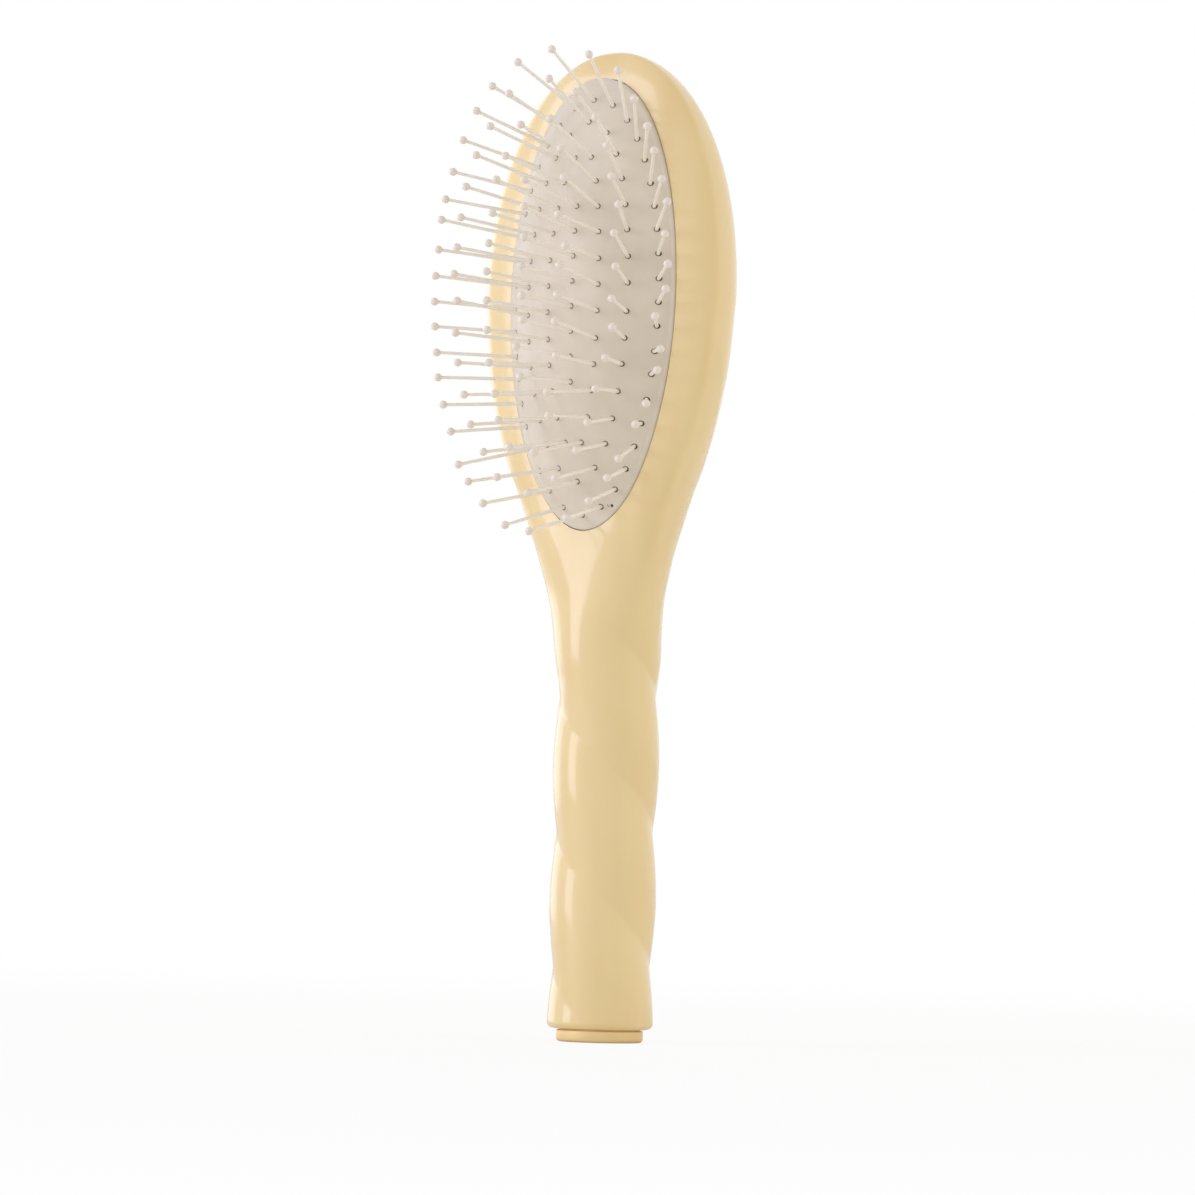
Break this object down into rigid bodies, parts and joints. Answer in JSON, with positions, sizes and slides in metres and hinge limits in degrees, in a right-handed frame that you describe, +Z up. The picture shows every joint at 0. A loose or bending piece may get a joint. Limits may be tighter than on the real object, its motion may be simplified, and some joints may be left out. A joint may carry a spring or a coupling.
{
  "type": "detangling brush",
  "caption": "Oval pneumatic detangling brush with ball-tipped pins in a domed rubber cushion, a rounded head and a twisted two-lobed handle on a flat metal foot.",
  "frame": {"origin": "centre of the foot's flat bottom face", "axes": "+Z up the handle to the top of the head, -Y the side of the pins, +X across the head"},
  "size_m": [0.0658, 0.0508, 0.225],
  "materials": {
    "acetate": "polished cream yellow acetate",
    "rubber": "matte beige natural rubber",
    "nylon": "satin cream nylon",
    "brass": "satin pale brass"
  },
  "bodies": {
    "handle": {"handle_body": "acetate", "foot": "brass"},
    "cushion": {"cushion": "rubber"},
    "outer_pins_top": {"outer_pins_top": "nylon"},
    "outer_pins_upper_left": {"outer_pins_upper_left": "nylon"},
    "outer_pins_left": {"outer_pins_left": "nylon"},
    "outer_pins_lower_left": {"outer_pins_lower_left": "nylon"},
    "outer_pins_bottom": {"outer_pins_bottom": "nylon"},
    "outer_pins_lower_right": {"outer_pins_lower_right": "nylon"},
    "outer_pins_right": {"outer_pins_right": "nylon"},
    "outer_pins_upper_right": {"outer_pins_upper_right": "nylon"},
    "middle_pins_top": {"middle_pins_top": "nylon"},
    "middle_pins_upper_left": {"middle_pins_upper_left": "nylon"},
    "middle_pins_lower_left": {"middle_pins_lower_left": "nylon"},
    "middle_pins_bottom": {"middle_pins_bottom": "nylon"},
    "middle_pins_lower_right": {"middle_pins_lower_right": "nylon"},
    "middle_pins_upper_right": {"middle_pins_upper_right": "nylon"},
    "inner_pins_top": {"inner_pins_top": "nylon"},
    "inner_pins_left": {"inner_pins_left": "nylon"},
    "inner_pins_bottom": {"inner_pins_bottom": "nylon"},
    "inner_pins_right": {"inner_pins_right": "nylon"},
    "spine_pins_upper": {"spine_pins_upper": "nylon"},
    "spine_pins_lower": {"spine_pins_lower": "nylon"}
  },
  "joints": [
    {"name": "cushion_press", "type": "slide", "parent": "handle", "child": "cushion", "axis": [0, 0.9999, -0.014], "range_m": [0, 0.004], "stiffness_N_per_m": 1800, "deforming": ["cushion"]},
    {"name": "outer_top_flex", "type": "hinge", "parent": "cushion", "child": "outer_pins_top", "pos_m": [0.00007, -0.01143, 0.21028], "axis": [-0.9999, 0.0004, 0.0101], "range_deg": [-8, 8], "stiffness_Nm_per_rad": 0.05},
    {"name": "outer_upper_left_flex", "type": "hinge", "parent": "cushion", "child": "outer_pins_upper_left", "pos_m": [-0.01596, -0.01196, 0.19319], "axis": [-0.2958, -0.0243, -0.9549], "range_deg": [-8, 8], "stiffness_Nm_per_rad": 0.05},
    {"name": "outer_left_flex", "type": "hinge", "parent": "cushion", "child": "outer_pins_left", "pos_m": [-0.01949, -0.01238, 0.1662], "axis": [0.0126, -0.0061, -0.9999], "range_deg": [-8, 8], "stiffness_Nm_per_rad": 0.05},
    {"name": "outer_lower_left_flex", "type": "hinge", "parent": "cushion", "child": "outer_pins_lower_left", "pos_m": [-0.01553, -0.0123, 0.13923], "axis": [0.2915, 0.0114, -0.9565], "range_deg": [-8, 8], "stiffness_Nm_per_rad": 0.05},
    {"name": "outer_bottom_flex", "type": "hinge", "parent": "cushion", "child": "outer_pins_bottom", "pos_m": [-0.00006, -0.01199, 0.12153], "axis": [0.9999, 0.0003, -0.0108], "range_deg": [-8, 8], "stiffness_Nm_per_rad": 0.05},
    {"name": "outer_lower_right_flex", "type": "hinge", "parent": "cushion", "child": "outer_pins_lower_right", "pos_m": [0.01543, -0.0123, 0.13891], "axis": [0.2961, -0.0116, 0.9551], "range_deg": [-8, 8], "stiffness_Nm_per_rad": 0.05},
    {"name": "outer_right_flex", "type": "hinge", "parent": "cushion", "child": "outer_pins_right", "pos_m": [0.01948, -0.01238, 0.1658], "axis": [0.0163, 0.0058, 0.9999], "range_deg": [-8, 8], "stiffness_Nm_per_rad": 0.05},
    {"name": "outer_upper_right_flex", "type": "hinge", "parent": "cushion", "child": "outer_pins_upper_right", "pos_m": [0.01605, -0.01197, 0.19287], "axis": [-0.2905, 0.0241, 0.9566], "range_deg": [-8, 8], "stiffness_Nm_per_rad": 0.05},
    {"name": "middle_top_flex", "type": "hinge", "parent": "cushion", "child": "middle_pins_top", "pos_m": [0.00004, -0.01358, 0.20349], "axis": [-0.9999, 0.0014, 0.0126], "range_deg": [-8, 8], "stiffness_Nm_per_rad": 0.05},
    {"name": "middle_upper_left_flex", "type": "hinge", "parent": "cushion", "child": "middle_pins_upper_left", "pos_m": [-0.01246, -0.01533, 0.18238], "axis": [-0.1347, -0.0544, -0.9894], "range_deg": [-8, 8], "stiffness_Nm_per_rad": 0.05},
    {"name": "middle_lower_left_flex", "type": "hinge", "parent": "cushion", "child": "middle_pins_lower_left", "pos_m": [-0.01222, -0.01575, 0.15208], "axis": [0.1466, 0.0256, -0.9889], "range_deg": [-8, 8], "stiffness_Nm_per_rad": 0.05},
    {"name": "middle_bottom_flex", "type": "hinge", "parent": "cushion", "child": "middle_pins_bottom", "pos_m": [-0.00004, -0.01462, 0.13049], "axis": [0.9999, 0.001, -0.0135], "range_deg": [-8, 8], "stiffness_Nm_per_rad": 0.05},
    {"name": "middle_lower_right_flex", "type": "hinge", "parent": "cushion", "child": "middle_pins_lower_right", "pos_m": [0.01217, -0.01574, 0.15175], "axis": [0.1497, -0.0265, 0.9884], "range_deg": [-8, 8], "stiffness_Nm_per_rad": 0.05},
    {"name": "middle_upper_right_flex", "type": "hinge", "parent": "cushion", "child": "middle_pins_upper_right", "pos_m": [0.01251, -0.01535, 0.18206], "axis": [-0.1312, 0.0535, 0.9899], "range_deg": [-8, 8], "stiffness_Nm_per_rad": 0.05},
    {"name": "inner_top_flex", "type": "hinge", "parent": "cushion", "child": "inner_pins_top", "pos_m": [0.00002, -0.01597, 0.19365], "axis": [-0.9998, 0.0022, 0.0211], "range_deg": [-8, 8], "stiffness_Nm_per_rad": 0.05},
    {"name": "inner_left_flex", "type": "hinge", "parent": "cushion", "child": "inner_pins_left", "pos_m": [-0.00658, -0.01768, 0.16714], "axis": [0.0055, -0.0143, -0.9999], "range_deg": [-8, 8], "stiffness_Nm_per_rad": 0.05},
    {"name": "inner_bottom_flex", "type": "hinge", "parent": "cushion", "child": "inner_pins_bottom", "pos_m": [-0.00002, -0.01673, 0.14032], "axis": [0.9998, 0.0016, -0.0222], "range_deg": [-8, 8], "stiffness_Nm_per_rad": 0.05},
    {"name": "inner_right_flex", "type": "hinge", "parent": "cushion", "child": "inner_pins_right", "pos_m": [0.00658, -0.01768, 0.16685], "axis": [0.0072, 0.0132, 0.9999], "range_deg": [-8, 8], "stiffness_Nm_per_rad": 0.05},
    {"name": "spine_upper_flex", "type": "hinge", "parent": "cushion", "child": "spine_pins_upper", "pos_m": [0, -0.01776, 0.17949], "axis": [0, -0.0655, -0.9979], "range_deg": [-8, 8], "stiffness_Nm_per_rad": 0.05},
    {"name": "spine_lower_flex", "type": "hinge", "parent": "cushion", "child": "spine_pins_lower", "pos_m": [0, -0.01819, 0.15669], "axis": [0, 0.0249, -0.9997], "range_deg": [-8, 8], "stiffness_Nm_per_rad": 0.05}
  ]
}
